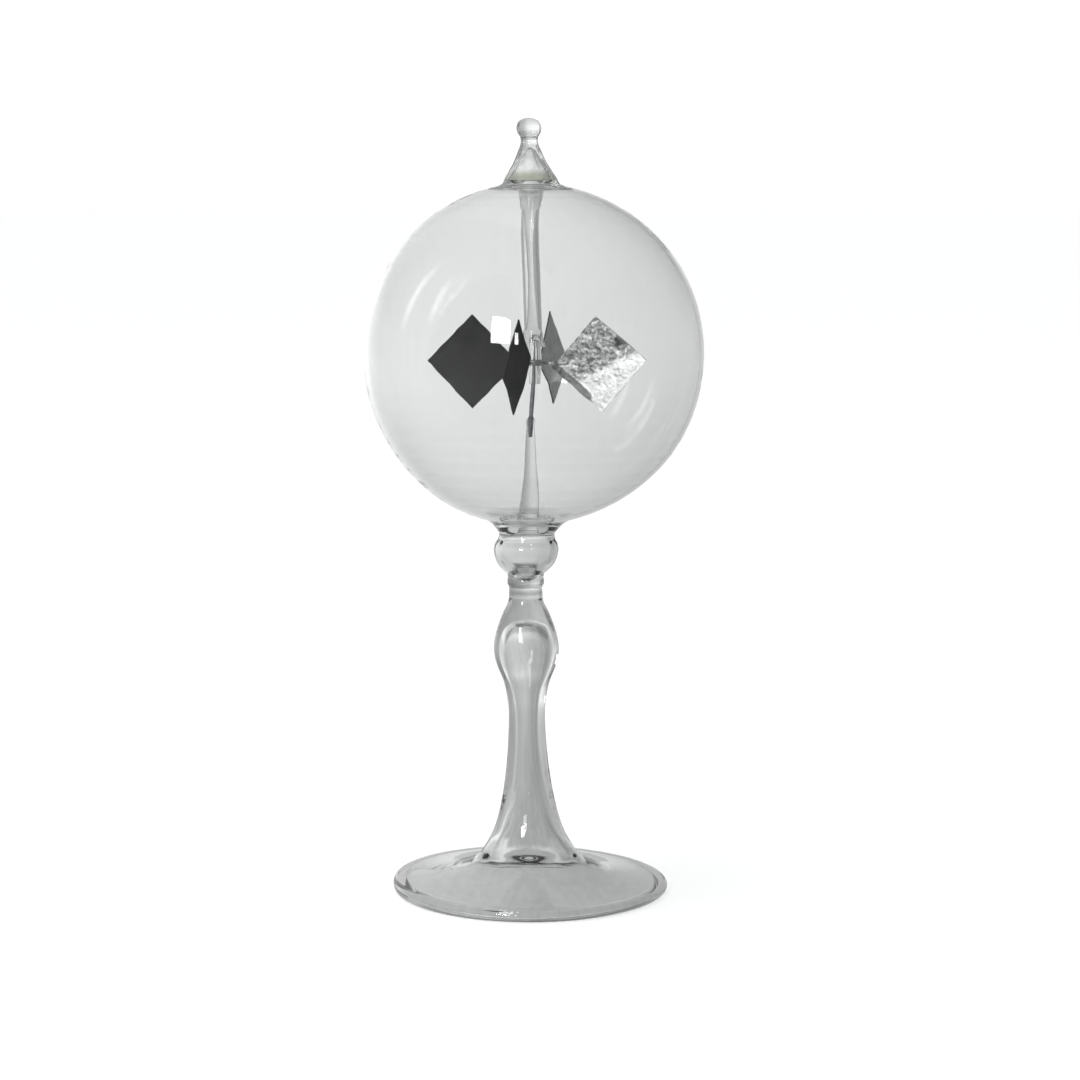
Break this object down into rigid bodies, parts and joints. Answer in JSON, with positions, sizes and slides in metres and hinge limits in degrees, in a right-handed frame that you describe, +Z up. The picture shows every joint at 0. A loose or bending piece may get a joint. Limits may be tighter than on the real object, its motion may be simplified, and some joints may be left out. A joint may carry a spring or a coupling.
{
  "type": "radiometer",
  "caption": "Glass light mill: a sealed bulb on a blown stem and round foot, with black and silver vanes that spin on a needle point.",
  "frame": {"origin": "centre of the foot's underside, on the axis of the instrument", "axes": "+Z up the axis from the foot to the sealed tip; +X to the right and +Y away as the instrument is seen from the front, with the first vane turned 16 degrees from +X towards -Y at rest"},
  "size_m": [0.08, 0.08, 0.1829],
  "materials": {
    "bulb_glass": "clear blown glass, fire polished",
    "foot_glass": "clear drawn glass with a faint grey tint",
    "vane_silver": "thin bright sheet, lightly crinkled",
    "lampblack": "dead matte soot",
    "hub_metal": "dull metal",
    "needle_steel": "ground steel"
  },
  "bodies": {
    "stand": {"foot_rim": "foot_glass", "foot": "foot_glass", "stem": "foot_glass", "weld_ring": "bulb_glass", "collar": "bulb_glass", "knop": "bulb_glass", "bulb": "bulb_glass", "seal_cone": "bulb_glass", "tip_bead": "bulb_glass", "guide_tube": "bulb_glass", "stalk": "bulb_glass", "stalk_bead": "bulb_glass", "needle": "needle_steel"},
    "rotor": {"hub_cup": "bulb_glass", "hub_ring": "hub_metal", "arm_1": "hub_metal", "arm_2": "hub_metal", "arm_3": "hub_metal", "arm_4": "hub_metal", "vane_1": "vane_silver", "vane_2": "vane_silver", "vane_3": "vane_silver", "vane_4": "vane_silver", "coat_1": "lampblack", "coat_2": "lampblack", "coat_3": "lampblack", "coat_4": "lampblack"}
  },
  "joints": [
    {"name": "rotor_spin", "type": "hinge", "parent": "stand", "child": "rotor", "pos_m": [0, 0, 0.1314], "axis": [0, 0, -1], "continuous": true}
  ]
}
